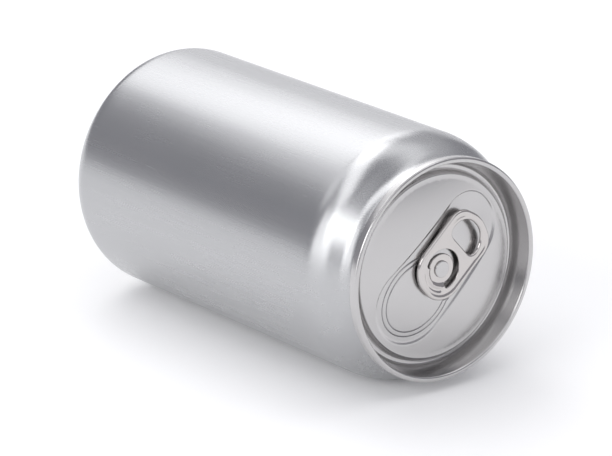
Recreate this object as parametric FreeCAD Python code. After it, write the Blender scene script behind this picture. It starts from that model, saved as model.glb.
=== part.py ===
import FreeCAD, Part
import math
import os

from FreeCAD import Matrix, Vector

# A shut 355 ml drinks can lying on its side, in millimetres. The can's axis runs along X with the lid at +X,
# Z is up, and the origin is under the middle of the can on the surface that it lies on.
# Everything is first built standing: local Z is the can's axis, from the standing ring at 0 to the top of the
# seam at HEIGHT, and local X points from the rivet to the finger end of the tab.

# Can body
HEIGHT = 122.2
BODY_RADIUS = 33.1
REST_HALF_WIDTH = 5.5

# Base
STAND_RADIUS = 23.9
STAND_FLAT = 0.4
STAND_EDGE = 1.4
LEG_RUN = 2.0
DOME_HEIGHT = 10.5
DOME_LEG_HEIGHT = 5.0
HEEL_ANGLE = 33.5
HEEL_EDGE = 7.7
STAND_LEG = STAND_RADIUS - LEG_RUN

# Seam of the lid, and the shoulder and neck of the body that it closes
SEAM_RADIUS = 29.5
SEAM_WIDTH = 1.35
SEAM_HEIGHT = 2.5
SEAM_EDGE = 0.6
NECK_STEP = 1.25
NECK_STRAIGHT = 0.4
NECK_ANGLE = 32.0
NECK_EDGE = 8.0
SHOULDER_EDGE = 16.0
NECK_RADIUS = SEAM_RADIUS - NECK_STEP

# Chuck wall, countersink and panel of the lid, from the seam inwards
SHEET = 0.25
CHUCK_WALL_RUN = 1.65
COUNTERSINK_DEPTH = 6.4
COUNTERSINK_WIDTH = 1.55
COUNTERSINK_EDGE = 0.7
PANEL_WALL_RUN = 0.5
PANEL_DEPTH = 4.2
PANEL_EDGE = 0.6
PANEL_RIM = 1.15
PANEL_DOME = 2.2
SEAM_INNER = SEAM_RADIUS - SEAM_WIDTH
COUNTERSINK_OUTER = SEAM_INNER - CHUCK_WALL_RUN
COUNTERSINK_INNER = COUNTERSINK_OUTER - COUNTERSINK_WIDTH
PANEL_RADIUS = COUNTERSINK_INNER - PANEL_WALL_RUN
DOME_RADIUS = PANEL_RADIUS - PANEL_RIM

# Recess in the panel round the opening and the tab
RECESS_DEPTH = 0.4
RECESS_MARGIN = 0.9
RECESS_MOUTH_HALF = 11.4
RECESS_FINGER_HALF = 8.8
RECESS_FLAT = 0.2
RECESS_REACH = DOME_RADIUS - RECESS_MARGIN

# Score round the opening, two egg-shaped grooves whose long half is the half width and a stretch
SCORE_END_GAP = 1.7
SCORE_SIDE_GAP = 1.8
SCORE_STRETCH = 1.7
SCORE_PITCH = 1.25
SCORE_WIDTH = 0.3
SCORE_DEPTH = 0.1
SCORE_START = 40.0
SCORE_END = 302.0
SCORE_HALF = RECESS_MOUTH_HALF - SCORE_SIDE_GAP
SCORE_LONG = SCORE_HALF + SCORE_STRETCH
SCORE_CENTRE = SCORE_LONG + SCORE_END_GAP - RECESS_REACH

# Rivet
BOSS_RADIUS = 3.9
BOSS_HEIGHT = 0.15
RIVET_RADIUS = 1.7
RIVET_LIP = 0.55
RIVET_HEAD_HEIGHT = 0.5
RIVET_HEAD_EDGE = 0.2
RIVET_CLEARANCE = 0.05
RIVET_HEAD = RIVET_RADIUS + RIVET_LIP

# Tab: outline, island round the rivet with its slot and nose bead, and finger hole
TAB_TURN = 42.0
TAB_THICK = 1.2
TAB_LIFT = 0.3
TAB_EDGE = 0.5
TAB_NOSE = 7.8
TAB_NOSE_FLAT = 0.8
TAB_HALF_WIDTH = 8.0
TAB_LENGTH = 25.1
TAB_FINGER_SLOPE = 2.7
TAB_CORNER_ROUND = 5.0
TAB_END_ROUND = 10.0
TAB_END = TAB_LENGTH - TAB_NOSE
TAB_NOSE_ROUND = TAB_HALF_WIDTH - TAB_NOSE_FLAT

ISLAND_GAP = 0.1
ISLAND_THICK = 0.4
ISLAND_HINGE_HALF = 2.4
ISLAND_HINGE_REACH = 0.8
SLOT_WIDTH = 1.4
SLOT_REACH = 115.0
SLOT_INNER = BOSS_RADIUS + ISLAND_GAP

BEAD_GAP = 0.9
BEAD_WIDTH = 1.1
BEAD_REACH = 41.0
BEAD_DEPTH = 0.3
BEAD_INNER = SLOT_INNER + BEAD_GAP

HOLE_WEB = 2.3
HOLE_SIDE_WEB = 2.7
HOLE_END_WEB = 2.6
HOLE_CORNER = 2.0
HOLE_ROUND = 4.8
HOLE_START = SLOT_INNER + SLOT_WIDTH + HOLE_WEB
HOLE_END = TAB_END - HOLE_END_WEB
HOLE_HALF_WIDTH = TAB_HALF_WIDTH - HOLE_SIDE_WEB

# Levels along the standing can's axis
SEAM_FOOT = HEIGHT - SEAM_HEIGHT
PANEL_LEVEL = HEIGHT - PANEL_DEPTH
PANEL_TOP = PANEL_LEVEL + PANEL_DOME
FLOOR_LEVEL = PANEL_TOP - RECESS_DEPTH
BOSS_LEVEL = FLOOR_LEVEL + BOSS_HEIGHT
ISLAND_LEVEL = BOSS_LEVEL + ISLAND_THICK
TAB_UNDER = FLOOR_LEVEL + TAB_LIFT
TAB_TOP = TAB_UNDER + TAB_THICK

AXIS = Vector(0, 0, 1)
ORIGIN = Vector(0, 0, 0)
SAME_POINT = 1e-6
OVERRUN = 5.0


def polar(radius, degrees):
    """A point of the XY plane at a distance from the origin and an angle from X."""
    turn = math.radians(degrees)
    return Vector(radius * math.cos(turn), radius * math.sin(turn), 0)


def corner_arc(before, corner, after, radius):
    """Start, middle and end of the arc that rounds one corner of a path."""
    back = (before - corner).normalize()
    ahead = (after - corner).normalize()
    half_angle = back.getAngle(ahead) / 2
    reach = radius / math.tan(half_angle)
    inward = (back + ahead).normalize()
    centre = corner + inward * (radius / math.sin(half_angle))
    return corner + back * reach, centre - inward * radius, corner + ahead * reach


def rounded_edges(corners, closed):
    """Edges in the XY plane of a path through corners, given as x, y and the radius that rounds each."""
    points = [Vector(x, y, 0) for x, y, _ in corners]
    count = len(points)
    edges = []
    stops = []
    for i, point in enumerate(points):
        radius = corners[i][2]
        if radius == 0:
            stops.append((point, point))
            continue
        start, middle, end = corner_arc(points[i - 1], point, points[(i + 1) % count], radius)
        edges.append(Part.Arc(start, middle, end).toShape())
        stops.append((start, end))
    pairs = list(zip(stops, stops[1:]))
    if closed:
        pairs.append((stops[-1], stops[0]))
    for (_, leave), (arrive, _) in pairs:
        if leave.distanceToPoint(arrive) > SAME_POINT:
            edges.append(Part.makeLine(leave, arrive))
    return Part.__sortEdges__(edges)


def prism(edges, low, high):
    """A straight solid between two levels over an outline in the XY plane."""
    face = Part.Face(Part.Wire(edges))
    face.translate(AXIS * low)
    return face.extrude(AXIS * (high - low))


def turned(edges):
    """A solid of revolution about the can's axis from a closed outline of radius (x) against height (y)."""
    face = Part.Face(Part.Wire(Part.__sortEdges__(edges)))
    face.rotate(ORIGIN, Vector(1, 0, 0), 90)
    return face.revolve(ORIGIN, AXIS, 360)


def cap_arc(edge_radius, edge_level, rise):
    """The arc of a shallow dome from its rim to its top on the axis, as radius against height."""
    dome_radius = (edge_radius ** 2 + rise ** 2) / (2 * abs(rise))
    half = math.asin(edge_radius / dome_radius) / 2
    drop = dome_radius * (1 - math.cos(half)) * math.copysign(1, rise)
    middle = Vector(dome_radius * math.sin(half), edge_level + rise - drop, 0)
    return Part.Arc(Vector(edge_radius, edge_level, 0), middle, Vector(0, edge_level + rise, 0)).toShape()


def offset_corners(corners, gap):
    """The corners of a path moved to its left by a gap, with each rounding kept parallel."""
    points = [Vector(x, y, 0) for x, y, _ in corners]
    moved = []
    for i in range(1, len(points) - 1):
        before = (points[i] - points[i - 1]).normalize()
        after = (points[i + 1] - points[i]).normalize()
        left = AXIS.cross(before)
        mitre = (left + AXIS.cross(after)).normalize()
        shifted = points[i] + mitre * (gap / mitre.dot(left))
        turns_left = before.cross(after).z > 0
        radius = corners[i][2] - gap if turns_left else corners[i][2] + gap
        moved.append((shifted.x, shifted.y, radius))
    return moved


def ring_sector(inner, width, middle, reach):
    """Edges of a curved slot of a width with round ends, from middle - reach to middle + reach degrees."""
    outer = inner + width
    centre_line = inner + width / 2
    first = middle - reach
    last = middle + reach
    past = math.degrees(width / 2 / centre_line)
    return Part.__sortEdges__([
        Part.Arc(polar(inner, first), polar(inner, middle), polar(inner, last)).toShape(),
        Part.Arc(polar(inner, last), polar(centre_line, last + past), polar(outer, last)).toShape(),
        Part.Arc(polar(outer, last), polar(outer, middle), polar(outer, first)).toShape(),
        Part.Arc(polar(outer, first), polar(centre_line, first - past), polar(inner, first)).toShape(),
    ])


def lid_corners():
    """The lid's upper side, from the foot of the seam over its top and down to the rim of the panel."""
    foot = HEIGHT - COUNTERSINK_DEPTH
    return [
        (SEAM_RADIUS, SEAM_FOOT, 0),
        (SEAM_RADIUS, HEIGHT, SEAM_EDGE),
        (SEAM_INNER, HEIGHT, SEAM_EDGE),
        (COUNTERSINK_OUTER, foot, COUNTERSINK_EDGE),
        (COUNTERSINK_INNER, foot, COUNTERSINK_EDGE),
        (PANEL_RADIUS, PANEL_LEVEL, PANEL_EDGE),
        (DOME_RADIUS, PANEL_LEVEL, 0),
    ]


def lid_underside():
    """The underside of the chuck wall, countersink and panel rim, one sheet below the upper side."""
    below = offset_corners(lid_corners()[2:], SHEET)
    rise = SEAM_FOOT - below[0][1]
    return [
        (below[0][0] + CHUCK_WALL_RUN / COUNTERSINK_DEPTH * rise, SEAM_FOOT, 0),
        *below,
        (DOME_RADIUS, PANEL_LEVEL - SHEET, 0),
    ]


def panel_slab(upper, lower):
    """The solid between the panel's domed surface moved down by upper and by lower."""
    top = PANEL_LEVEL - upper
    bottom = PANEL_LEVEL - lower
    return turned([
        cap_arc(DOME_RADIUS, top, PANEL_DOME),
        cap_arc(DOME_RADIUS, bottom, PANEL_DOME),
        Part.makeLine(Vector(DOME_RADIUS, top, 0), Vector(DOME_RADIUS, bottom, 0)),
        Part.makeLine(Vector(0, top + PANEL_DOME, 0), Vector(0, bottom + PANEL_DOME, 0)),
    ])


def recess_edges(grow):
    """The long outline of the panel's recess, wide round the opening and narrow at the finger end."""
    mouth = RECESS_MOUTH_HALF + grow
    finger = RECESS_FINGER_HALF + grow
    taper = math.atan((RECESS_MOUTH_HALF - RECESS_FINGER_HALF) / (2 * RECESS_REACH))
    mouth_round = (RECESS_MOUTH_HALF - RECESS_FLAT) * math.tan(math.pi / 4 - taper / 2) + grow
    finger_round = (RECESS_FINGER_HALF - RECESS_FLAT) * math.tan(math.pi / 4 + taper / 2) + grow
    return rounded_edges([
        (-RECESS_REACH - grow, -mouth, mouth_round),
        (RECESS_REACH + grow, -finger, finger_round),
        (RECESS_REACH + grow, finger, finger_round),
        (-RECESS_REACH - grow, mouth, mouth_round),
    ], closed=True)


def recess_pan():
    """The sheet of the recess: its floor and its walls, from the panel's surface down."""
    return prism(recess_edges(SHEET), PANEL_LEVEL - OVERRUN, PANEL_TOP).common(
        panel_slab(SHEET / 2, RECESS_DEPTH + SHEET))


def ellipse_arc(inset, half_width):
    """One edge of a score groove: an arc of the egg-shaped outline, moved in from the outer score."""
    long_half = SCORE_LONG - inset + half_width
    short_half = SCORE_HALF - inset + half_width
    ellipse = Part.Ellipse(Vector(SCORE_CENTRE, 0, 0), long_half, short_half)
    start = math.radians(SCORE_START)
    end = math.radians(SCORE_END)
    return Part.ArcOfEllipse(ellipse, start, end).toShape()


def score_groove(inset):
    """One score groove, cut into the floor of the recess."""
    outer = ellipse_arc(inset, SCORE_WIDTH / 2)
    inner = ellipse_arc(inset, -SCORE_WIDTH / 2)
    ends = [
        Part.makeLine(outer.valueAt(outer.FirstParameter), inner.valueAt(inner.FirstParameter)),
        Part.makeLine(outer.valueAt(outer.LastParameter), inner.valueAt(inner.LastParameter)),
    ]
    strip = prism(Part.__sortEdges__([outer, inner, *ends]), PANEL_LEVEL - OVERRUN, PANEL_TOP)
    return strip.common(panel_slab(0, RECESS_DEPTH + SCORE_DEPTH))


def rivet():
    """The rivet drawn up out of the lid: a low boss, a shank and the head that holds the tab."""
    head_top = ISLAND_LEVEL + RIVET_HEAD_HEIGHT
    root = FLOOR_LEVEL - SHEET / 2
    return turned(rounded_edges([
        (0, root, 0),
        (BOSS_RADIUS, root, 0),
        (BOSS_RADIUS, BOSS_LEVEL, 0),
        (RIVET_RADIUS, BOSS_LEVEL, 0),
        (RIVET_RADIUS, ISLAND_LEVEL, 0),
        (RIVET_HEAD, ISLAND_LEVEL, 0),
        (RIVET_HEAD, head_top, RIVET_HEAD_EDGE),
        (0, head_top, 0),
    ], closed=True))


def make_lid():
    """The can's end: double seam, chuck wall, countersink, panel with its recess and score, and rivet."""
    under = lid_underside()
    sheet = turned([
        *rounded_edges(lid_corners(), closed=False),
        *rounded_edges(under, closed=False),
        cap_arc(DOME_RADIUS, PANEL_LEVEL, PANEL_DOME),
        cap_arc(DOME_RADIUS, PANEL_LEVEL - SHEET, PANEL_DOME),
        Part.makeLine(Vector(0, PANEL_TOP, 0), Vector(0, PANEL_TOP - SHEET, 0)),
        Part.makeLine(Vector(SEAM_RADIUS, SEAM_FOOT, 0), Vector(under[0][0], SEAM_FOOT, 0)),
    ])
    pocket = prism(recess_edges(0), PANEL_LEVEL - OVERRUN, PANEL_TOP + OVERRUN).common(
        panel_slab(-OVERRUN, RECESS_DEPTH))
    lid = sheet.fuse(recess_pan()).cut(pocket)
    for groove in (score_groove(0), score_groove(SCORE_PITCH)):
        lid = lid.cut(groove)
    return lid.fuse(rivet()).removeSplitter()


def body_corners():
    """The body's outer outline, from the inner leg of the standing ring to the foot of the seam."""
    inner_foot = STAND_RADIUS - STAND_FLAT / 2 - STAND_EDGE
    outer_foot = STAND_RADIUS + STAND_FLAT / 2 + STAND_EDGE * math.tan(math.radians(HEEL_ANGLE / 2))
    heel_level = (BODY_RADIUS - outer_foot) * math.tan(math.radians(HEEL_ANGLE))
    half_neck = math.tan(math.radians(NECK_ANGLE / 2))
    neck_level = SEAM_FOOT - NECK_STRAIGHT - NECK_EDGE * half_neck
    shoulder_level = neck_level - (BODY_RADIUS - NECK_RADIUS) / math.tan(math.radians(NECK_ANGLE))
    return [
        (STAND_LEG, DOME_LEG_HEIGHT, 0),
        (inner_foot, 0, STAND_EDGE),
        (outer_foot, 0, STAND_EDGE),
        (BODY_RADIUS, heel_level, HEEL_EDGE),
        (BODY_RADIUS, shoulder_level, SHOULDER_EDGE),
        (NECK_RADIUS, neck_level, NECK_EDGE),
        (NECK_RADIUS, SEAM_FOOT, 0),
    ]


def rest_level():
    """Height of the can's axis above the flat spot that it rests on."""
    return math.sqrt(BODY_RADIUS ** 2 - REST_HALF_WIDTH ** 2)


def make_body():
    """The can's body as one full solid: domed base, wall, shoulder and neck, up to the lid's underside."""
    outside = turned([
        *rounded_edges(body_corners(), closed=False),
        cap_arc(STAND_LEG, DOME_LEG_HEIGHT, DOME_HEIGHT - DOME_LEG_HEIGHT),
        Part.makeLine(Vector(0, DOME_HEIGHT, 0), Vector(0, SEAM_FOOT, 0)),
        Part.makeLine(Vector(0, SEAM_FOOT, 0), Vector(NECK_RADIUS, SEAM_FOOT, 0)),
    ])
    under = lid_underside()
    above_lid = turned([
        *rounded_edges(under, closed=False),
        cap_arc(DOME_RADIUS, PANEL_LEVEL - SHEET, PANEL_DOME),
        Part.makeLine(Vector(0, PANEL_TOP - SHEET, 0), Vector(0, SEAM_FOOT, 0)),
        Part.makeLine(Vector(0, SEAM_FOOT, 0), Vector(under[0][0], SEAM_FOOT, 0)),
    ])
    body = outside.cut(above_lid).cut(recess_pan())
    level = rest_level()
    slab = Part.makeBox(BODY_RADIUS, 2 * BODY_RADIUS, HEIGHT, Vector(level, -BODY_RADIUS, 0))
    slab.rotate(ORIGIN, AXIS, -90 - TAB_TURN)
    return body.cut(slab)


def tab_edges():
    """The tab's outline: a round nose over the opening and a fuller, flatter end for the finger."""
    return rounded_edges([
        (-TAB_NOSE, -TAB_HALF_WIDTH, TAB_NOSE_ROUND),
        (TAB_END - TAB_FINGER_SLOPE, -TAB_HALF_WIDTH, TAB_CORNER_ROUND),
        (TAB_END, 0, TAB_END_ROUND),
        (TAB_END - TAB_FINGER_SLOPE, TAB_HALF_WIDTH, TAB_CORNER_ROUND),
        (-TAB_NOSE, TAB_HALF_WIDTH, TAB_NOSE_ROUND),
    ], closed=True)


def finger_hole_edges():
    """The finger hole's outline, straight towards the rivet and round towards the end."""
    end_round = min(HOLE_ROUND, HOLE_HALF_WIDTH, HOLE_END - HOLE_START - HOLE_CORNER)
    return rounded_edges([
        (HOLE_START, -HOLE_HALF_WIDTH, HOLE_CORNER),
        (HOLE_END, -HOLE_HALF_WIDTH, end_round),
        (HOLE_END, HOLE_HALF_WIDTH, end_round),
        (HOLE_START, HOLE_HALF_WIDTH, HOLE_CORNER),
    ], closed=True)


def flat_edges(shape):
    """The edges of a prism that lie in its end faces."""
    return [e for e in shape.Edges if abs(e.BoundBox.ZLength) < SAME_POINT]


def make_tab():
    """The stay-on tab: rolled-edge plate, finger hole, and the slotted island that the rivet holds."""
    plate = prism(tab_edges(), TAB_UNDER, TAB_TOP)
    plate = plate.makeFillet(TAB_EDGE, flat_edges(plate))
    low = BOSS_LEVEL - OVERRUN
    high = TAB_TOP + OVERRUN
    plate = plate.cut(prism(finger_hole_edges(), low, high))
    plate = plate.cut(prism(ring_sector(SLOT_INNER, SLOT_WIDTH, 0, SLOT_REACH), low, high))
    plate = plate.cut(Part.makeCylinder(SLOT_INNER, high - low, AXIS * low))
    plate = plate.cut(prism(ring_sector(BEAD_INNER, BEAD_WIDTH, 180, BEAD_REACH), TAB_TOP - BEAD_DEPTH, high))
    island = Part.makeCylinder(SLOT_INNER, ISLAND_THICK, AXIS * BOSS_LEVEL)
    reach = SLOT_INNER + ISLAND_HINGE_REACH
    hinge = Part.makeBox(reach, 2 * ISLAND_HINGE_HALF, ISLAND_LEVEL - TAB_UNDER)
    hinge.translate(Vector(-reach, -ISLAND_HINGE_HALF, TAB_UNDER))
    hole = Part.makeCylinder(RIVET_RADIUS + RIVET_CLEARANCE, high - low, AXIS * low)
    return plate.fuse(island).fuse(hinge).cut(hole).removeSplitter()


def lie_down(shape):
    """Moves a standing shape into the part's frame: axis along X, lid at +X, tab turned about the axis."""
    turn = math.radians(TAB_TURN)
    placement = Matrix(
        0, 0, 1, -HEIGHT / 2,
        math.cos(turn), -math.sin(turn), 0, 0,
        math.sin(turn), math.cos(turn), 0, rest_level(),
        0, 0, 0, 1,
    )
    moved = shape.copy()
    moved.transformShape(placement)
    return moved


os.makedirs("parts", exist_ok=True)
for name, make in (("can_body", make_body), ("lid", make_lid), ("tab", make_tab)):
    shape = lie_down(make())
    solid = shape.Solids[0]
    box = solid.optimalBoundingBox()
    print(name, len(shape.Solids), shape.isValid(), round(solid.Volume, 1))
    print("  x %.2f %.2f  y %.2f %.2f  z %.2f %.2f" % (box.XMin, box.XMax, box.YMin, box.YMax, box.ZMin, box.ZMax))
    solid.exportStep("parts/%s.step" % name)
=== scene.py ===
import logging
import math
from collections.abc import Iterable, Mapping, Sequence
from dataclasses import dataclass, field
from enum import Enum
from typing import Any

import bmesh
import bpy
import numpy as np
from bpy.types import Material, Node, NodeSocket, Object
from mathutils import Matrix, Vector
from mathutils.geometry import delaunay_2d_cdt


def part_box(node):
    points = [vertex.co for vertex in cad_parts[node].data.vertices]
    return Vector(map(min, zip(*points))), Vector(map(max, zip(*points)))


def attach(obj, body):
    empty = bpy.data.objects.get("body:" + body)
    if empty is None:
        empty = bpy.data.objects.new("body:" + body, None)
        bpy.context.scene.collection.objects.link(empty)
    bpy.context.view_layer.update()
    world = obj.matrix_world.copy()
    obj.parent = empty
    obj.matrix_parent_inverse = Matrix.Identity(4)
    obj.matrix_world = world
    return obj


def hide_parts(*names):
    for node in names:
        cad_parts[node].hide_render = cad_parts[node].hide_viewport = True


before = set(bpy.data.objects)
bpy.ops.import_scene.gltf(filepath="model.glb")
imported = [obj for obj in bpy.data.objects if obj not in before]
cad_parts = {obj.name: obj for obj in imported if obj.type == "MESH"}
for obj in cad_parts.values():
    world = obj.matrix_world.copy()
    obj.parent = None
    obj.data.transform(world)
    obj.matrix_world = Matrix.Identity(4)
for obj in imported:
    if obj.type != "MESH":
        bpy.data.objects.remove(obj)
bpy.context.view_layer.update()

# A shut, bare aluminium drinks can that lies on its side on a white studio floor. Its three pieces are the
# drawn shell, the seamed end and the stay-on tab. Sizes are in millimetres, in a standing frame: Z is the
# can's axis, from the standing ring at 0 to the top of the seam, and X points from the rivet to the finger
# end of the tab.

MM = 0.001
AROUND = 384
SAME_SPOT = 2e-7
TINY = 1e-9
# Name of the point attribute that holds painted shade: how far the colour is darkened at the bottom of the
# lid's score groove.
BODY = "root"
PAINTED_CREASE_SHADE = "painted_crease_shade"

Array = np.ndarray
Corner = tuple[float, float, float]
Colour = tuple[float, float, float]
Entries = Mapping[str | int, Any]
log = logging.getLogger("drinks_can")


class Grain(Enum):
    """Which way the fine marks of a metal finish run, as stretches of the noise along X, Y and Z."""

    ALONG_AXIS = (1.0, 1.0, 0.015)
    ACROSS_LID = (0.05, 1.0, 1.0)


# ---- outlines


def unit(vector: Array) -> Array:
    """Returns the vector at length 1."""
    return vector / np.linalg.norm(vector)


def smooth(value: Array) -> Array:
    """Returns 0 below 0, 1 above 1 and an eased ramp between them."""
    eased = np.clip(value, 0.0, 1.0)
    return eased * eased * (3.0 - 2.0 * eased)


def polar(radius: float, degrees: Iterable[float]) -> Array:
    """Returns the points at a distance from the origin and at each angle from X."""
    turn = np.radians(np.asarray(list(degrees), float))
    return np.stack([radius * np.cos(turn), radius * np.sin(turn)], axis=1)


def rounded_path(
    corners: Sequence[Corner], closed: bool = False, bend: float = 7.5, run: float = 3.0
) -> Array:
    """Samples a path through corners that are each rounded.

    Args:
        corners: x, y and rounding radius of each corner.
        closed: whether the last corner leads back to the first.
        bend: largest turn between two points of a rounding, in degrees.
        run: longest straight piece between two points.

    Returns:
        The points of the path, one row each.
    """
    spots = [np.array(corner[:2], float) for corner in corners]
    turned: list[Array] = []
    for i, spot in enumerate(spots):
        radius = corners[i][2]
        if radius == 0:
            turned.append(spot)
            continue
        back = unit(spots[i - 1] - spot)
        ahead = unit(spots[(i + 1) % len(spots)] - spot)
        half = math.acos(float(np.clip(back @ ahead, -1, 1))) / 2
        centre = spot + unit(back + ahead) * radius / math.sin(half)
        arm = spot + back * radius / math.tan(half) - centre
        sweep = math.copysign(math.pi - 2 * half, ahead[0] * back[1] - ahead[1] * back[0])
        steps = max(2, math.ceil(math.degrees(abs(sweep)) / bend))
        for k in range(steps + 1):
            c, s = math.cos(sweep * k / steps), math.sin(sweep * k / steps)
            turned.append(centre + np.array([c * arm[0] - s * arm[1], s * arm[0] + c * arm[1]]))
    if closed:
        turned.append(turned[0])
    path = [turned[0]]
    for start, end in zip(turned, turned[1:]):
        length = float(np.linalg.norm(end - start))
        if length < SAME_SPOT / MM:
            continue
        pieces = max(1, math.ceil(length / run))
        path.extend(start + (end - start) * k / pieces for k in range(1, pieces + 1))
    return np.array(path[:-1] if closed else path)


def evenly(path: Array, spacing: float, closed: bool = True) -> Array:
    """Samples a path again at even spacing.

    Args:
        path: points of the path.
        spacing: wanted distance between two points.
        closed: whether the path leads back to its first point.

    Returns:
        The new points.
    """
    line = np.vstack([path, path[:1]]) if closed else path
    along = np.concatenate([[0.0], np.cumsum(np.linalg.norm(np.diff(line, axis=0), axis=1))])
    count = max(3, round(along[-1] / spacing))
    stops = np.linspace(0.0, along[-1], count + 1)
    if closed:
        stops = stops[:-1]
    return np.stack([np.interp(stops, along, line[:, k]) for k in (0, 1)], axis=1)


def beside(path: Array, gap: float, closed: bool = True) -> Array:
    """Moves a path to its right, which is outwards where it runs anticlockwise.

    Args:
        path: points of the path.
        gap: how far it moves.
        closed: whether the path leads back to its first point.

    Returns:
        The moved points.
    """
    if closed:
        run = np.roll(path, -1, axis=0) - np.roll(path, 1, axis=0)
    else:
        run = np.gradient(path, axis=0)
    run = run / np.linalg.norm(run, axis=1, keepdims=True)
    return path + gap * np.stack([run[:, 1], -run[:, 0]], axis=1)


def reach(path: Array, points: Array, closed: bool = True) -> Array:
    """Finds how far each point lies from a path.

    Args:
        path: points of the path.
        points: the points to measure from.
        closed: whether the path leads back to its first point.

    Returns:
        One distance for each point.
    """
    start = path if closed else path[:-1]
    step = (np.roll(path, -1, axis=0) if closed else path[1:]) - start
    length = np.maximum((step**2).sum(axis=1), TINY**2)
    nearest = np.empty(len(points))
    batch = 2000
    for first in range(0, len(points), batch):
        arm = points[first : first + batch, None, :] - start[None]
        share = np.clip((arm * step[None]).sum(axis=2) / length, 0.0, 1.0)
        gap = arm - share[..., None] * step[None]
        nearest[first : first + batch] = np.sqrt((gap**2).sum(axis=2).min(axis=1))
    return nearest


def inside(loop: Array, points: Array) -> Array:
    """Finds which points lie inside a closed loop.

    Args:
        loop: points of the loop.
        points: the points to test.

    Returns:
        True for each point inside.
    """
    ahead = np.roll(loop, -1, axis=0)
    result = np.zeros(len(points), bool)
    for (x0, y0), (x1, y1) in zip(loop, ahead):
        if y0 == y1:
            continue
        spans = (points[:, 1] > y0) != (points[:, 1] > y1)
        result ^= spans & (points[:, 0] < x0 + (points[:, 1] - y0) * (x1 - x0) / (y1 - y0))
    return result


def depth_inside(loop: Array, points: Array) -> Array:
    """Returns how deep each point lies inside a closed loop, below 0 outside it."""
    return np.where(inside(loop, points), 1.0, -1.0) * reach(loop, points)


# ---- meshes


def added(name: str, data: Any) -> Object:
    """Returns a new object of the scene that holds the data."""
    made = bpy.data.objects.new(name, data)
    bpy.context.scene.collection.objects.link(made)
    return made


@dataclass
class Lying:
    """Where the standing frame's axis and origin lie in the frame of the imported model, in metres.

    Attributes:
        base: place along X of the standing ring.
        height: length of the can.
        level: height of the axis above the floor.
        turn: angle about the axis from level to the tab's finger end, in degrees.
    """

    base: float
    height: float
    level: float
    turn: float = 42.0

    @classmethod
    def from_frame(cls) -> "Lying":
        """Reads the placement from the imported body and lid.

        Returns:
            The placement.
        """
        body_low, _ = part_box("can_body")
        lid_low, lid_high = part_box("lid")
        return cls(body_low.x, lid_high.x - body_low.x, (lid_low.z + lid_high.z) / 2)

    def matrix(self) -> Matrix:
        """Returns the matrix that lays a turned piece down, with its own Z along the can's axis."""
        return Matrix(((0, 0, 1, self.base), (1, 0, 0, 0), (0, 1, 0, self.level), (0, 0, 0, 1)))

    def turned(self, points: Array) -> Array:
        """Turns points about the axis as the can lies, and lifts what would reach below the floor up to it.

        Args:
            points: points of the standing frame, in millimetres.

        Returns:
            The turned points, with a flat spot where the can rests.
        """
        c, s = math.cos(math.radians(self.turn)), math.sin(math.radians(self.turn))
        across = points[:, 0] * c - points[:, 1] * s
        upward = np.maximum(points[:, 0] * s + points[:, 1] * c, -self.level / MM)
        return np.column_stack([across, upward, points[:, 2]])


class MeshDraft:
    """Points and faces of one piece, in millimetres, gathered part by part."""

    def __init__(self) -> None:
        """Starts with nothing."""
        self.points: list[Array] = []
        self.shades: list[Array] = []
        self.faces: list[tuple[int, ...]] = []
        self.count = 0

    def add(self, points: Array, faces: Iterable[Sequence[int]], shade: Array | None = None) -> None:
        """Adds points and faces.

        Args:
            points: the points, in millimetres.
            faces: the faces, which count from the first of the points.
            shade: how strongly each point's colour is darkened by painted shade in the creases, from 0 to 1,
                if there are creases.
        """
        self.faces.extend(tuple(int(k) + self.count for k in face) for face in faces)
        self.points.append(points)
        self.shades.append(np.zeros(len(points)) if shade is None else shade)
        self.count += len(points)

    def turn(self, profile: Array) -> None:
        """Turns a profile about the axis; a radius of 0 closes it to a point.

        Args:
            profile: radius and height of each point.
        """
        angles = np.linspace(0, 360, AROUND, endpoint=False)
        rows: list[Array] = []
        for radius, height in profile:
            ring = polar(radius, angles) if radius > TINY else np.zeros((1, 2))
            rows.append(np.column_stack([ring, np.full(len(ring), height)]))
        starts = np.cumsum([0, *map(len, rows)]).tolist()
        faces: list[tuple[int, ...]] = []
        for i in range(len(rows) - 1):
            low, high = starts[i], starts[i + 1]
            below, above = len(rows[i]) > 1, len(rows[i + 1]) > 1
            for k in range(AROUND):
                n = (k + 1) % AROUND
                quad = (low + k * below, low + n * below, high + n * above, high + k * above)
                faces.append(tuple(dict.fromkeys(quad)))
        self.add(np.vstack(rows), faces)

    def build(self, name: str, place: Lying) -> Object:
        """Makes the piece, with its faces joined, turned outwards and shaded smooth.

        Args:
            name: name of the new object.
            place: where the standing frame lies.

        Returns:
            The new object.
        """
        mesh = bpy.data.meshes.new(name)
        mesh.from_pydata((place.turned(np.vstack(self.points)) * MM).tolist(), [], self.faces)
        # Stores the painted shade of the creases on each point, for the materials to darken the colour with.
        mesh.attributes.new(PAINTED_CREASE_SHADE, "FLOAT", "POINT").data.foreach_set("value", np.concatenate(self.shades))
        work = bmesh.new()
        work.from_mesh(mesh)
        bmesh.ops.remove_doubles(work, verts=work.verts, dist=SAME_SPOT)
        bmesh.ops.dissolve_degenerate(work, edges=work.edges, dist=SAME_SPOT)
        bmesh.ops.recalc_face_normals(work, faces=work.faces)
        for face in work.faces:
            face.smooth = True
        work.to_mesh(mesh)
        open_edges = sum(1 for edge in work.edges if not edge.is_manifold)
        work.free()
        piece = added(name, mesh)
        piece.matrix_world = place.matrix()
        log.info("%s: %d faces, %d open edges", name, len(mesh.polygons), open_edges)
        return piece


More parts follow.
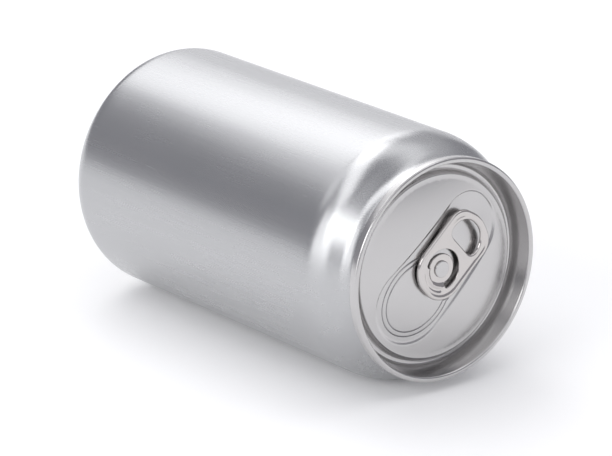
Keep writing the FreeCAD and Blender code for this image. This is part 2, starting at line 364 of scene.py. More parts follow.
@dataclass
class ReliefSheet:
    """A plane region cut into triangles that follow the rows along its features.

    Attributes:
        outline: the region's edge.
        holes: edges of the holes in it.
        rows: points along the features, the most important first.
        pitch: distance between the points that fill the rest.
        closest: least distance between two points of the rows, and from them to an edge.
        edge_share: least distance of a filling point from an edge, in pitches.
        fill_share: its least distance from other points, likewise.
    """

    outline: Array
    holes: list[Array] = field(default_factory=list)
    rows: list[Array] = field(default_factory=list)
    pitch: float = 0.6
    closest: float = 0.06
    edge_share: float = 0.4
    fill_share: float = 0.62

    def thinned(self, taken: Array, wanted: Array, gap: float) -> Array:
        """Leaves out each wanted point that lies nearer than a gap to one before it.

        Args:
            taken: points that stay.
            wanted: points to add, in order.
            gap: least distance.

        Returns:
            The points that stay and those added.
        """
        cells: dict[tuple[int, int], list[tuple[float, float]]] = {}
        kept: list[tuple[float, float]] = []
        for number, (x, y) in enumerate(np.vstack([taken, wanted]).tolist()):
            cell = (math.floor(x / gap), math.floor(y / gap))
            beside_it = ((cell[0] + i, cell[1] + j) for i in (-1, 0, 1) for j in (-1, 0, 1))
            near = (spot for other in beside_it for spot in cells.get(other, ()))
            if number >= len(taken) and any((x - a) ** 2 + (y - b) ** 2 < gap * gap for a, b in near):
                continue
            cells.setdefault(cell, []).append((x, y))
            kept.append((x, y))
        return np.array(kept)

    def within(self, points: Array, margin: float) -> Array:
        """Picks the points that lie in the region.

        Args:
            points: the points to pick from.
            margin: least distance from every edge.

        Returns:
            The points that lie inside.
        """
        good = depth_inside(self.outline, points) > margin
        for hole in self.holes:
            good &= depth_inside(hole, points) < -margin
        return points[good]

    def triangles(self) -> tuple[Array, Array]:
        """Cuts the region into triangles.

        Returns:
            The plan points, and three point numbers for each triangle.
        """
        loops = [self.outline, *self.holes]
        edges: list[tuple[int, int]] = []
        first = 0
        for loop in loops:
            edges.extend((first + k, first + (k + 1) % len(loop)) for k in range(len(loop)))
            first += len(loop)
        points = np.vstack(loops)
        if self.rows:
            points = self.thinned(points, self.within(np.vstack(self.rows), self.closest), self.closest)
        low, high = self.outline.min(axis=0), self.outline.max(axis=0)
        rise = self.pitch * math.sqrt(0.75)
        lattice = np.array([
            (low[0] + (i + 0.5 * (j % 2)) * self.pitch, low[1] + j * rise)
            for j in range(math.ceil((high[1] - low[1]) / rise))
            for i in range(math.ceil((high[0] - low[0]) / self.pitch))
        ])
        filling = self.within(lattice, self.edge_share * self.pitch)
        points = self.thinned(points, filling, self.fill_share * self.pitch)
        spots = [Vector(p) for p in points.tolist()]
        found, _, faces, _, _, _ = delaunay_2d_cdt(spots, edges, [], 0, 1e-6)
        plan = np.array([tuple(p) for p in found])
        corners = np.array([tuple(face) for face in faces])
        middle = plan[corners].mean(axis=1)
        good = inside(self.outline, middle)
        for hole in self.holes:
            good &= ~inside(hole, middle)
        return plan, corners[good]


# ---- finishes


class Value:
    """A shader value: the output of a node, which takes part in ordinary sums."""

    def __init__(self, graph: "Graph", socket: NodeSocket) -> None:
        """Holds the graph and the socket that gives the value."""
        self.graph = graph
        self.socket = socket

    def __add__(self, other: "Value | float") -> "Value":
        """Returns this value and another added."""
        return self.graph.math("ADD", self, other)

    __radd__ = __add__

    def __sub__(self, other: "Value | float") -> "Value":
        """Returns this value less another."""
        return self.graph.math("SUBTRACT", self, other)

    def __rsub__(self, other: float) -> "Value":
        """Returns a number less this value."""
        return self.graph.math("SUBTRACT", other, self)

    def __mul__(self, other: "Value | float") -> "Value":
        """Returns this value times another."""
        return self.graph.math("MULTIPLY", self, other)

    __rmul__ = __mul__


class Graph:
    """The node graph of one material."""

    def __init__(self, name: str) -> None:
        """Starts a material with nothing but its output."""
        self.material = bpy.data.materials.new(name)
        self.material.use_nodes = True
        self.tree = self.material.node_tree
        self.tree.nodes.clear()

    def node(self, kind: str, settings: Entries, inputs: Entries) -> Node:
        """Adds a node.

        Args:
            kind: type of the node.
            settings: its own settings, which are set first.
            inputs: a value or a link for each named or numbered socket.

        Returns:
            The new node.
        """
        made = self.tree.nodes.new(kind)
        for key, setting in settings.items():
            setattr(made, key, setting)
        for key, entry in inputs.items():
            if isinstance(entry, Value):
                self.tree.links.new(entry.socket, made.inputs[key])
            else:
                made.inputs[key].default_value = entry
        return made

    def value(self, kind: str, settings: Entries, inputs: Entries, out: str | int = 0) -> Value:
        """Adds a node and returns one of its outputs."""
        return Value(self, self.node(kind, settings, inputs).outputs[out])

    def math(self, operation: str, first: Value | float, second: Value | float) -> Value:
        """Returns the result of a Math node on two values."""
        return self.value("ShaderNodeMath", {"operation": operation}, {0: first, 1: second})

    def place(self, stretch: Sequence[float]) -> Value:
        """Returns the point's own place on the piece, stretched along each axis."""
        here = self.value("ShaderNodeTexCoord", {}, {}, "Object")
        return self.value("ShaderNodeVectorMath", {"operation": "MULTIPLY"}, {0: here, 1: tuple(stretch)})

    def noise(self, where: Value, scale: float, detail: float = 2.0, rough: float = 0.5) -> Value:
        """Returns noise about 0, from about -0.5 to 0.5, with cells of 1 / scale metres."""
        inputs = {"Vector": where, "Scale": scale, "Detail": detail, "Roughness": rough}
        return self.value("ShaderNodeTexNoise", {"noise_dimensions": "3D"}, inputs, "Fac") - 0.5

    def tinted(self, amount: Value, low: Value | Sequence[float], high: Value | Sequence[float]) -> Value:
        """Mixes two colours.

        Args:
            amount: share of the second, from 0 to 1.
            low: the first colour.
            high: the second.

        Returns:
            The mixed colour.
        """
        first, second = (side if isinstance(side, Value) else (*side, 1.0) for side in (low, high))
        settings = {"data_type": "RGBA", "clamp_factor": True}
        return self.value("ShaderNodeMix", settings, {0: amount, 6: first, 7: second}, 2)

    def finish(self, inputs: Entries) -> Material:
        """Ends the graph with a Principled shader.

        Args:
            inputs: a value or a link for each of its sockets.

        Returns:
            The finished material.
        """
        shader = self.value("ShaderNodeBsdfPrincipled", {}, inputs)
        self.node("ShaderNodeOutputMaterial", {}, {"Surface": shader})
        return self.material


@dataclass(frozen=True)
class MetalFinish:
    """Bare aluminium with fine marks in one direction, and painted shade at the bottom of creases.

    Attributes:
        name: name of the material.
        dark: colour of the deepest marks.
        light: colour of the highest.
        roughness: blur of what it mirrors.
        grain: which way the marks run.
        grain_scale: marks in a metre, across them.
        bump: depth of the marks, in millimetres.
        anisotropy: how much further the blur reaches around the axis than along it.
        roughness_spread: how much the blur varies from mark to mark.
        painted_crease_shade: painted shade, the colour painted at the bottom of creases.
        broad_ratio: width of the broad marks beside the fine ones.
        broad_share: their strength, likewise.
        cloud_scale: soft clouds in a metre.
        cloud_share: how much they change the colour.
    """

    name: str
    dark: Colour
    light: Colour
    roughness: float
    grain: Grain
    grain_scale: float
    bump: float
    anisotropy: float = 0.0
    roughness_spread: float = 0.03
    # Painted shade: the colour that the bottom of the score groove is darkened towards.
    painted_crease_shade: Colour = (0.10, 0.10, 0.11)
    broad_ratio: float = 7.0
    broad_share: float = 0.6
    cloud_scale: float = 45.0
    cloud_share: float = 0.5

    def material(self) -> Material:
        """Makes the material.

        Returns:
            The new material.
        """
        graph = Graph(self.name)
        marks_at = graph.place(self.grain.value)
        fine = graph.noise(marks_at, self.grain_scale, 3.0, 0.6)
        broad = graph.noise(marks_at, self.grain_scale / self.broad_ratio, 2.0)
        cloud = graph.noise(graph.place((1.0, 1.0, 1.0)), self.cloud_scale, 2.0)
        marks = fine + self.broad_share * broad
        depth = {"Strength": 1.0, "Distance": self.bump * MM, "Height": marks}
        bump = graph.value("ShaderNodeBump", {}, depth)
        bare = graph.tinted(0.5 + marks + self.cloud_share * cloud, self.dark, self.light)
        # Painted shade: darkens the colour where the point attribute marks a groove.
        painted_crease_shade = graph.value("ShaderNodeAttribute", {"attribute_name": PAINTED_CREASE_SHADE}, {}, "Fac")
        inputs = {
            "Base Color": graph.tinted(painted_crease_shade, bare, self.painted_crease_shade),
            "Metallic": 1.0,
            "Roughness": self.roughness + self.roughness_spread * (marks + cloud),
            "Anisotropic": self.anisotropy,
            "Normal": bump,
        }
        return graph.finish(inputs)


@dataclass(frozen=True)
class FloorFinish:
    """The matt white paper that the can lies on, a little lit from below.

    Attributes:
        name: name of the material.
        shade: how much light it sends back.
        spread: how much its fibres change that.
        fibre_scale: fibres in a metre.
        lift: its own glow, which keeps shadows pale.
        glow: colour of that glow.
    """

    name: str = "studio_paper"
    shade: float = 0.94
    spread: float = 0.01
    fibre_scale: float = 900.0
    lift: float = 0.10
    glow: Colour = (0.97, 0.97, 1.0)

    def material(self) -> Material:
        """Makes the material.

        Returns:
            The new material.
        """
        graph = Graph(self.name)
        fibres = graph.noise(graph.place((1.0, 1.0, 1.0)), self.fibre_scale, 3.0)
        low = (self.shade - self.spread,) * 3
        high = (self.shade + self.spread,) * 3
        inputs = {
            "Base Color": graph.tinted(0.5 + fibres, low, high),
            "Roughness": 1.0,
            "Specular IOR Level": 0.0,
            "Emission Color": (*self.glow, 1.0),
            "Emission Strength": self.lift,
        }
        return graph.finish(inputs)


SHELL_FINISH = MetalFinish(
    name="drawn_aluminium",
    dark=(0.468, 0.471, 0.479),
    light=(0.506, 0.509, 0.516),
    roughness=0.27,
    grain=Grain.ALONG_AXIS,
    grain_scale=1500.0,
    bump=0.00006,
    anisotropy=0.6,
)
END_FINISH = MetalFinish(
    name="end_aluminium",
    dark=(0.530, 0.522, 0.522),
    light=(0.556, 0.548, 0.546),
    roughness=0.23,
    grain=Grain.ACROSS_LID,
    grain_scale=3000.0,
    bump=0.0001,
)
TAB_FINISH = MetalFinish(
    name="tab_aluminium",
    dark=(0.560, 0.536, 0.524),
    light=(0.585, 0.561, 0.549),
    roughness=0.13,
    grain=Grain.ACROSS_LID,
    grain_scale=3000.0,
    bump=0.0001,
)


# ---- pieces


@dataclass
class CanShell:
    """The drawn can: domed base, standing ring, wall, shoulder and neck, closed under the lid.

    Attributes:
        height: overall height of the can, to the top of the seam.
    """

    height: float
    radius: float = 33.08
    stand_radius: float = 23.9
    stand_flat: float = 0.4
    stand_edge: float = 1.4
    leg_radius: float = 21.9
    leg_height: float = 5.0
    leg_round: float = 1.2
    dome_height: float = 10.5
    heel_angle: float = 33.5
    heel_edge: float = 7.7
    neck_radius: float = 28.25
    neck_straight: float = 0.4
    neck_angle: float = 32.0
    neck_edge: float = 8.0
    shoulder_edge: float = 16.0
    seam_height: float = 2.5
    tuck: float = 0.5
    ceiling: float = 7.2
    ceiling_radius: float = 27.2
    dome_steps: int = 18
    ceiling_steps: int = 6

    def dome(self) -> list[tuple[float, float]]:
        """Works out the base dome, from its middle to its foot.

        Returns:
            Radius and height of each point.
        """
        rise = self.dome_height - self.leg_height
        ball = (self.leg_radius**2 + rise**2) / (2 * rise)
        half = math.asin(self.leg_radius / ball)
        turns = [half * k / self.dome_steps for k in range(self.dome_steps)]
        return [(ball * math.sin(t), self.dome_height - ball * (1 - math.cos(t))) for t in turns]

    def profile(self) -> Array:
        """Works out the whole outline, from the base dome up and back under the lid.

        Returns:
            Radius and height of each point.
        """
        tan = math.tan
        seam_foot = self.height - self.seam_height
        inner_foot = self.stand_radius - self.stand_flat / 2 - self.stand_edge
        heel, neck = math.radians(self.heel_angle), math.radians(self.neck_angle)
        outer_foot = self.stand_radius + self.stand_flat / 2 + self.stand_edge * tan(heel / 2)
        heel_level = (self.radius - outer_foot) * tan(heel)
        neck_level = seam_foot - self.neck_straight - self.neck_edge * tan(neck / 2)
        shoulder_level = neck_level - (self.radius - self.neck_radius) / tan(neck)
        dome = self.dome()
        wall = rounded_path(
            [
                (*dome[-1], 0),
                (self.leg_radius, self.leg_height, self.leg_round),
                (inner_foot, 0, self.stand_edge),
                (outer_foot, 0, self.stand_edge),
                (self.radius, heel_level, self.heel_edge),
                (self.radius, shoulder_level, self.shoulder_edge),
                (self.neck_radius, neck_level, self.neck_edge),
                (self.neck_radius, seam_foot + self.tuck, 0),
                (self.ceiling_radius, self.height - self.ceiling, 0),
            ],
            bend=3.0,
        )
        inward = np.linspace(self.ceiling_radius, 0, self.ceiling_steps + 1)[1:]
        return np.vstack([dome[:-1], wall, [(r, self.height - self.ceiling) for r in inward]])

    def build(self, place: Lying) -> Object:
        """Makes the shell and dresses it.

        Args:
            place: where the standing frame lies.

        Returns:
            The shell.
        """
        draft = MeshDraft()
        draft.turn(self.profile())
        piece = draft.build("can_shell", place)
        piece.data.materials.append(SHELL_FINISH.material())
        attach(piece, BODY)
        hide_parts("can_body")
        return piece


@dataclass
class Levels:
    """Heights along the axis that the lid and the tab share.

    Attributes:
        height: overall height of the can, to the top of the seam.
    """

    height: float
    panel_depth: float = 4.2
    panel_dome: float = 2.2
    recess_depth: float = 0.4
    boss_height: float = 0.15
    island_thick: float = 0.4
    tab_lift: float = 0.3
    tab_thick: float = 1.2

    @property
    def panel(self) -> float:
        """Returns the level of the panel's rim."""
        return self.height - self.panel_depth

    @property
    def floor(self) -> float:
        """Returns the level of the recess under the tab."""
        return self.panel + self.panel_dome - self.recess_depth

    @property
    def boss(self) -> float:
        """Returns the level of the boss that the tab's island sits on."""
        return self.floor + self.boss_height

    @property
    def island(self) -> float:
        """Returns the level of the island's upper side."""
        return self.boss + self.island_thick

    @property
    def tab_under(self) -> float:
        """Returns the level of the tab's underside."""
        return self.floor + self.tab_lift

    @property
    def tab_top(self) -> float:
        """Returns the level of the crest of the tab's hem."""
        return self.tab_under + self.tab_thick


@dataclass
class LidEnd:
    """The seamed end: double seam, chuck wall, countersink, panel with recess and score, and rivet.

    Attributes:
        levels: heights that it shares with the tab.
    """

    levels: Levels
    seam_radius: float = 29.5
    seam_width: float = 1.35
    seam_height: float = 2.5
    seam_edge: float = 0.6
    seam_foot_edge: float = 0.4
    seam_under_radius: float = 28.0
    countersink_depth: float = 6.4
    countersink_outer: float = 26.5
    countersink_inner: float = 24.95
    countersink_edge: float = 0.7
    panel_radius: float = 24.45
    panel_edge: float = 0.6
    dome_radius: float = 23.3
    sheet: float = 0.25
    under_gap: float = 1.2
    under_steps: int = 8
    under_panel_edge: float = 0.3
    under_edge: float = 0.5
    under_lip: float = 0.4
    recess_reach: float = 22.4
    recess_mouth_half: float = 11.4
    recess_finger_half: float = 8.8
    recess_mouth_round: float = 10.57
    recess_finger_round: float = 9.11
    recess_slope: float = 0.75
    recess_soft: float = 1.3
    recess_turn: float = 0.35
    recess_shift: float = 1.0
    recess_blend: float = 6.0
    well_centre: float = 18.6
    well_radius: float = 4.6
    well_stretch: float = 1.2
    well_depth: float = 0.5
    score_centre: float = -9.4
    score_long: float = 11.3
    score_half: float = 9.6
    score_pitch: float = 1.25
    score_start: float = 40.0
    score_end: float = 296.0
    score_tip: tuple[float, float] = (-3.2, -8.7)
    score_width: float = 0.26
    score_depth: float = 0.14
    # How dark the painted shade at the bottom of the score groove is.
    score_painted_shade: float = 0.75
    score_step: float = 0.24
    score_gaps: tuple[float, ...] = (0.0, 0.07, 0.14, 0.22, 0.34)
    boss_radius: float = 3.9
    boss_edge: float = 0.4
    rivet_radius: float = 1.7
    rivet_head: float = 2.2
    rivet_height: float = 0.5
    rivet_edge: float = 0.24
    rivet_under_edge: float = 0.08
    rivet_lift: float = 0.02
    rivet_sink: float = 0.1
    rivet_dish: float = 0.1
    rivet_dish_radius: float = 1.5
    row_step: float = 0.34

    def recess(self) -> Array:
        """Works out the recess, wide round the opening and narrow at the finger end.

        Returns:
            Points of its outline.
        """
        far, mouth, finger = self.recess_reach, self.recess_mouth_half, self.recess_finger_half
        corners = [
            (-far, -mouth, self.recess_mouth_round),
            (far, -finger, self.recess_finger_round),
            (far, finger, self.recess_finger_round),
            (-far, mouth, self.recess_mouth_round),
        ]
        return evenly(rounded_path(corners, closed=True, bend=2.0), self.row_step)

    def score(self) -> Array:
        """Works out the score as one line: out round the opening, over its tip and back inside.

        Returns:
            Points of the line.
        """
        turns = np.radians(np.linspace(self.score_start, self.score_end, 160))
        loops = []
        for inset in (0.0, self.score_pitch):
            along = self.score_centre + (self.score_long - inset) * np.cos(turns)
            across = (self.score_half - inset) * np.sin(turns)
            loops.append(np.stack([along, across], axis=1))
        line = np.vstack([loops[0], [self.score_tip], loops[1][::-1]])
        return evenly(line, self.score_step, closed=False)

    def scored(self, plan: Array, score: Array) -> Array:
        """Returns how deep each point lies in the score, from 0 to 1."""
        return np.exp(-((reach(score, plan, closed=False) / (0.5 * self.score_width)) ** 2))

    def surface(self, plan: Array, recess: Array, score: Array) -> Array:
        """Finds the height of the panel's upper side.

        Args:
            plan: points of the plan.
            recess: outline of the recess.
            score: line of the score.

        Returns:
            One height for each point.
        """
        away = np.hypot(plan[:, 0], plan[:, 1])
        dome = self.levels.panel + self.levels.panel_dome * (1 - (away / self.dome_radius) ** 2)
        leaning = plan[:, 1] + self.recess_turn * plan[:, 0] + self.recess_shift
        crisp = smooth(leaning / self.recess_blend)
        slope = self.recess_soft + (self.recess_slope - self.recess_soft) * crisp
        wall = smooth(0.5 + depth_inside(recess, plan) / slope)
        from_well = np.hypot(plan[:, 0] - self.well_centre, plan[:, 1] / self.well_stretch)
        well = np.exp(-(from_well / self.well_radius) ** 2)
        cut = self.scored(plan, score)
        boss = smooth((self.boss_radius - away) / self.boss_edge)
        sunk = self.levels.recess_depth + self.well_depth * well
        return dome - wall * sunk - self.score_depth * cut + self.levels.boss_height * boss

    def rim(self) -> Array:
        """Works out the upper side, from the seam's foot over its top and down to the panel's rim.

        Returns:
            Radius and height of each point.
        """
        top = self.levels.height
        foot = top - self.countersink_depth
        inner = self.seam_radius - self.seam_width
        return rounded_path(
            [
                (self.seam_under_radius, top - self.seam_height, 0),
                (self.seam_radius, top - self.seam_height, self.seam_foot_edge),
                (self.seam_radius, top, self.seam_edge),
                (inner, top, self.seam_edge),
                (self.countersink_outer, foot, self.countersink_edge),
                (self.countersink_inner, foot, self.countersink_edge),
                (self.panel_radius, self.levels.panel, self.panel_edge),
                (self.dome_radius, self.levels.panel, 0),
            ],
            run=0.8,
        )

    def underside(self) -> Array:
        """Works out the underside, from the panel's middle out to the seam.

        Returns:
            Radius and height of each point.
        """
        top = self.levels.height
        foot = top - self.countersink_depth - self.sheet
        rim = self.levels.panel - self.under_gap
        dome = [
            (r, rim + self.levels.panel_dome * (1 - (r / self.dome_radius) ** 2))
            for r in np.linspace(0, self.dome_radius, self.under_steps + 1)
        ]
        rest = rounded_path(
            [
                (*dome[-1], 0),
                (self.panel_radius - self.sheet, rim, self.under_panel_edge),
                (self.countersink_inner - self.sheet, foot, self.under_edge),
                (self.countersink_outer + self.sheet, foot, self.under_edge),
                (self.seam_under_radius - self.under_lip, top - self.seam_height, 0),
                (self.seam_under_radius, top - self.seam_height, 0),
            ],
        )
        return np.vstack([dome[:-1], rest])

    def rivet(self) -> Array:
        """Works out the rivet: shank, rounded head and shallow dish.

        Returns:
            Radius and height of each point.
        """
        foot = self.levels.floor - self.rivet_sink
        collar = self.levels.island + self.rivet_lift
        top = self.levels.island + self.rivet_height
        brim = self.rivet_dish_radius
        body = rounded_path(
            [
                (0, foot, 0),
                (self.rivet_radius, foot, 0),
                (self.rivet_radius, collar, 0),
                (self.rivet_head, collar, self.rivet_under_edge),
                (self.rivet_head, top, self.rivet_edge),
                (brim, top, 0),
            ],
            bend=10.0,
            run=0.4,
        )
        inward = np.linspace(brim, 0, 6)[1:]
        dish = np.column_stack([inward, top - self.rivet_dish * smooth(1 - inward / brim)])
        return np.vstack([body, dish])

    def build(self, place: Lying) -> Object:
        """Makes the lid and dresses it.

        Args:
            place: where the standing frame lies.

        Returns:
            The lid.
        """
        recess, score = self.recess(), self.score()
        spread = self.recess_soft / 2
        rows = [beside(score, side * gap, closed=False) for gap in self.score_gaps for side in (-1, 1)]
        rows += [beside(recess, gap) for gap in np.linspace(-spread, spread, 13)]
        rows += [polar(self.boss_radius - k * self.boss_edge / 3, range(0, 360, 5)) for k in range(4)]
        edge = polar(self.dome_radius, np.linspace(0, 360, AROUND, endpoint=False))
        plan, corners = ReliefSheet(edge, rows=rows).triangles()
        draft = MeshDraft()
        draft.turn(self.rim())
        draft.turn(self.underside())
        # Painted shade: the colour in the score groove is darkened, most in its middle.
        shade = self.score_painted_shade * self.scored(plan, score)
        draft.add(np.column_stack([plan, self.surface(plan, recess, score)]), corners, shade)
        draft.turn(self.rivet())
        piece = draft.build("lid_end", place)
        piece.data.materials.append(END_FINISH.material())
        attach(piece, BODY)
        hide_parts("lid")
        return piece


@dataclass
class PullTab:
    """The stay-on tab: rolled hem, web with a stamped bead, finger hole, and the island on the rivet.

    Attributes:
        levels: heights that it shares with the lid.
    """

    levels: Levels
    nose: float = 7.8
    half_width: float = 8.0
    end: float = 17.3
    finger_slope: float = 2.7
    nose_round: float = 7.2
    corner_round: float = 5.0
    end_round: float = 10.0
    hole_start: float = 7.7
    hole_end: float = 14.7
    hole_half_width: float = 5.3
    hole_corner: float = 2.0
    hole_round: float = 4.8
    slot_inner: float = 4.0
    slot_width: float = 1.4
    slot_reach: float = 115.0
    rivet_hole: float = 1.76
    roll: float = 0.6
    roll_flat: float = 0.75
    roll_end: float = 1.6
    web_drop: float = 0.26
    hole_drop: float = 0.10
    web_thick: float = 0.35
    slot_edge: float = 0.22
    hinge_start: float = 3.7
    hinge_end: float = 4.7
    bead_radius: float = 5.4
    bead_half: float = 0.5
    bead_reach: float = 40.0
    bead_depth: float = 0.24
    hem_steps: float = 4.0
    hem_least: float = 0.05
    least_thick: float = 0.08
    sector_margin: float = 6.0
    row_step: float = 0.3
    slot_step: float = 0.22
    hem_gaps: tuple[float, ...] = (0.04, 0.1, 0.18, 0.28, 0.42, 0.6, 0.8, 1.0, 1.2, 1.4, 1.65)
    slot_gaps: tuple[float, ...] = (0.06, 0.13, 0.22, 0.34)
    bead_gaps: tuple[float, ...] = (0.0, 0.2, 0.34, 0.48, 0.62)

    def outline(self) -> Array:
        """Works out the tab's edge, a round nose and a fuller, flatter finger end.

        Returns:
            Points of the edge.
        """
        half = self.half_width
        corners = [
            (-self.nose, -half, self.nose_round),
            (self.end - self.finger_slope, -half, self.corner_round),
            (self.end, 0, self.end_round),
            (self.end - self.finger_slope, half, self.corner_round),
            (-self.nose, half, self.nose_round),
        ]
        return evenly(rounded_path(corners, closed=True, bend=2.0), self.row_step)

    def finger_hole(self) -> Array:
        """Works out the finger hole, straight towards the rivet and round towards the end.

        Returns:
            Points of its edge.
        """
        half = self.hole_half_width
        corners = [
            (self.hole_start, -half, self.hole_corner),
            (self.hole_end, -half, self.hole_round),
            (self.hole_end, half, self.hole_round),
            (self.hole_start, half, self.hole_corner),
        ]
        return evenly(rounded_path(corners, closed=True, bend=3.0), self.row_step)

    def slot(self) -> Array:
        """Works out the curved slot that frees the island, with round ends.

        Returns:
            Points of its edge.
        """
        middle = self.slot_inner + self.slot_width / 2
        swing, half = self.slot_reach, self.slot_width / 2
        outer = polar(self.slot_inner + self.slot_width, np.linspace(-swing, swing, 70))
        inner = polar(self.slot_inner, np.linspace(swing, -swing, 60))
        ends = []
        for side in (1, -1):
            start = 0 if side == 1 else 180
            turns = np.linspace(start, start + 180, 9)[1:-1] + side * swing
            ends.append(polar(middle, [side * swing]) + polar(half, turns))
        return evenly(np.vstack([outer, ends[0], inner, ends[1]]), self.slot_step)

    def bead(self) -> Array:
        """Returns the middle line of the stamped bead behind the nose."""
        return polar(self.bead_radius, np.linspace(180 - self.bead_reach, 180 + self.bead_reach, 34))

    def sides(self, plan: Array) -> tuple[Array, Array]:
        """Finds the heights of the tab's upper side and underside.

        Args:
            plan: points of the plan.

        Returns:
            Two heights for each point.
        """
        lv = self.levels
        to_edge = depth_inside(self.outline(), plan)
        to_hole = -depth_inside(self.finger_hole(), plan)
        to_slot = -depth_inside(self.slot(), plan)
        away = np.hypot(plan[:, 0], plan[:, 1])
        rolled = np.minimum(to_edge, to_hole)
        inward = np.maximum(self.roll - rolled, 0.0)
        fall = self.roll - np.sqrt(np.maximum(self.roll**2 - inward**2, self.hem_least**2))
        span = self.roll_end - self.roll_flat
        off_edge = smooth((to_edge - self.roll_flat) / span)
        off_hole = smooth((to_hole - self.roll_flat) / span)
        drop = off_edge * (self.hole_drop + (self.web_drop - self.hole_drop) * off_hole)
        by_edge = np.maximum(self.slot_edge - to_slot, 0.0)
        slot_fall = self.slot_edge - np.sqrt(np.maximum(self.slot_edge**2 - by_edge**2, 0.0))
        bead = np.exp(-((reach(self.bead(), plan, closed=False) / self.bead_half) ** 4))
        web = lv.tab_top - fall - drop - self.bead_depth * bead
        open_web = np.minimum(off_edge * off_hole * self.hem_steps, 1.0)
        thick = self.web_thick * open_web + lv.tab_thick * (1 - open_web)
        web_under = np.maximum(lv.tab_under + fall, web - thick)
        freed = self.by_slot(plan)
        island = smooth((self.hinge_end - away) / (self.hinge_end - self.hinge_start))
        island = np.where(freed & (away < self.slot_inner), 1.0, island)
        island = np.where(freed & (away > self.slot_inner + self.slot_width / 2), 0.0, island)
        top = island * lv.island + (1 - island) * web - slot_fall
        under = island * lv.boss + (1 - island) * web_under
        return np.maximum(top, under + self.least_thick), under

    def by_slot(self, plan: Array) -> Array:
        """Returns whether each point lies in the sector that the slot sweeps."""
        turn = np.degrees(np.arctan2(plan[:, 1], plan[:, 0]))
        return np.abs(turn) < self.slot_reach + self.sector_margin

    def build(self, place: Lying) -> Object:
        """Makes the tab and dresses it.

        Args:
            place: where the standing frame lies.

        Returns:
            The tab.
        """
        outline, hole, slot = self.outline(), self.finger_hole(), self.slot()
        rivet_hole = polar(self.rivet_hole, range(0, 360, 8))
        rows = [beside(outline, -gap) for gap in self.hem_gaps]
        rows += [beside(hole, gap) for gap in self.hem_gaps[:-2]]
        rows += [beside(slot, gap) for gap in self.slot_gaps]
        rows += [beside(self.bead(), side * gap, closed=False) for gap in self.bead_gaps for side in (1, -1)]
        sheet = ReliefSheet(outline, [hole, slot, rivet_hole], rows, pitch=0.45, closest=0.035)
        plan, corners = sheet.triangles()
        top, under = self.sides(plan)
        count = len(plan)
        runs = {run for a, b, c in corners.tolist() for run in ((a, b), (b, c), (c, a))}
        walls = [(a, b, b + count, a + count) for a, b in sorted(runs) if (b, a) not in runs]
        draft = MeshDraft()
        sides = np.vstack([np.column_stack([plan, top]), np.column_stack([plan, under])])
        below = [(c + count, b + count, a + count) for a, b, c in corners.tolist()]
        draft.add(sides, [*corners.tolist(), *below, *walls])
        piece = draft.build("pull_tab", place)
        piece.data.materials.append(TAB_FINISH.material())
        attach(piece, BODY)
        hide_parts("tab")
        return piece


# ---- studio


def towards(azimuth: float, elevation: float) -> Vector:
    """Returns the unit vector at an azimuth from +X and an elevation, both in degrees."""
    turn, rise = math.radians(azimuth), math.radians(elevation)
    return Vector((math.cos(turn) * math.cos(rise), math.sin(turn) * math.cos(rise), math.sin(rise)))


@dataclass(frozen=True)
class Softbox:
    """A flat, even light that faces the can.

    Attributes:
        name: name of the light.
        azimuth: direction that it stands in, in degrees from +X.
        elevation: how high it stands, in degrees.
        width: its level side, in degrees of the view from the can.
        tall: its other side, likewise.
        glow: brightness of its face.
        distance: how far it stands from the can, in metres.
    """

    name: str
    azimuth: float
    elevation: float
    width: float
    tall: float
    glow: float
    distance: float = 4.0

    def build(self, aim: Vector) -> Object:
        """Makes the light.

        Args:
            aim: the point that it faces.

        Returns:
            The light.
        """
        lamp = bpy.data.lights.new(self.name, "AREA")
        lamp.shape = "RECTANGLE"
        lamp.size = 2 * self.distance * math.tan(math.radians(self.width / 2))
        lamp.size_y = 2 * self.distance * math.tan(math.radians(self.tall / 2))
        lamp.energy = self.glow * lamp.size * lamp.size_y * math.pi
        light = added(self.name, lamp)
        light.location = aim + towards(self.azimuth, self.elevation) * self.distance
        light.rotation_euler = (light.location - aim).to_track_quat("Z", "Y").to_euler()
        return light


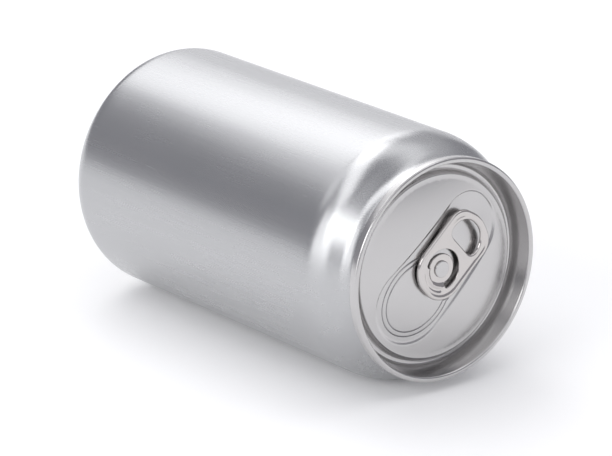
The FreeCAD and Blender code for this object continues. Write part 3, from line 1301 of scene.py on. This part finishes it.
@dataclass
class Studio:
    """The floor, the lights and the camera round the can.

    Attributes:
        aim: the point that the camera looks at.
        azimuth: direction that the camera stands in, in degrees from +X.
        elevation: how high it stands, in degrees.
        distance: how far it stands from the aim, in metres.
        lens: focal length, in millimetres.
        floor_half: half a side of the floor.
        lit: the point that the softboxes face.
        sky: light from all round.
    """

    aim: Vector = field(default_factory=lambda: Vector((0.0018, 0.0014, 0.0284)))
    azimuth: float = -38.01
    elevation: float = 18.17
    distance: float = 1.047
    lens: float = 232.7
    floor_half: float = 12.0
    lit: Vector = field(default_factory=lambda: Vector((0, 0, 0.03)))
    sky: Colour = (0.36, 0.36, 0.39)
    softboxes: tuple[Softbox, ...] = (
        Softbox("key", 158.0, 34.0, 44.0, 24.0, 1.02),
        Softbox("key_spill", -176.0, 46.0, 70.0, 18.0, 0.79),
        Softbox("back_low", 138.0, 11.0, 34.0, 18.0, 0.58),
        Softbox("back", 100.0, 45.0, 50.0, 30.0, 0.27),
        Softbox("back_high", 120.0, 70.0, 60.0, 22.0, 1.05),
        Softbox("left_high", -150.0, 66.0, 70.0, 22.0, 1.50),
        Softbox("right_high", 0.0, 62.0, 60.0, 24.0, 0.90),
        Softbox("front", -78.0, 28.0, 34.0, 24.0, 2.60),
        Softbox("front_side", -104.0, 26.0, 24.0, 18.0, 1.50),
        Softbox("front_low", -100.0, 8.0, 36.0, 14.0, 1.70),
        Softbox("beside_camera", -20.0, 24.0, 50.0, 30.0, 0.80),
    )

    def build_floor(self) -> Object:
        """Makes the floor.

        Returns:
            The floor.
        """
        half = self.floor_half
        mesh = bpy.data.meshes.new("floor")
        corners = [(-half, -half, 0), (half, -half, 0), (half, half, 0), (-half, half, 0)]
        mesh.from_pydata(corners, [], [(0, 1, 2, 3)])
        mesh.materials.append(FloorFinish().material())
        floor = added("floor", mesh)
        return floor

    def build_camera(self) -> Object:
        """Makes the camera.

        Returns:
            The camera.
        """
        camera = added("camera", bpy.data.cameras.new("camera"))
        camera.data.lens = self.lens
        camera.location = self.aim + towards(self.azimuth, self.elevation) * self.distance
        camera.rotation_euler = (camera.location - self.aim).to_track_quat("Z", "Y").to_euler()
        camera.data.clip_end = 100.0
        bpy.context.scene.camera = camera
        return camera

    def build_sky(self) -> None:
        """Lights everything a little from all round."""
        world = bpy.data.worlds.new("studio_air")
        world.use_nodes = True
        world.node_tree.nodes["Background"].inputs["Color"].default_value = (*self.sky, 1.0)
        bpy.context.scene.world = world

    def build(self) -> None:
        """Makes everything round the can."""
        self.build_camera()
        self.build_floor()
        self.build_sky()
        for softbox in self.softboxes:
            softbox.build(self.lit)
        bpy.context.scene.view_settings.view_transform = "Standard"


def main() -> None:
    """Makes the studio and the can."""
    logging.basicConfig(level=logging.INFO, format="%(name)s: %(message)s")
    Studio().build()
    place = Lying.from_frame()
    height = place.height / MM
    levels = Levels(height)
    for maker in (CanShell(height), LidEnd(levels), PullTab(levels)):
        piece = maker.build(place)
        log.info("%s stands for %s", piece.name, type(maker).__name__)


if __name__ == "__main__":
    main()
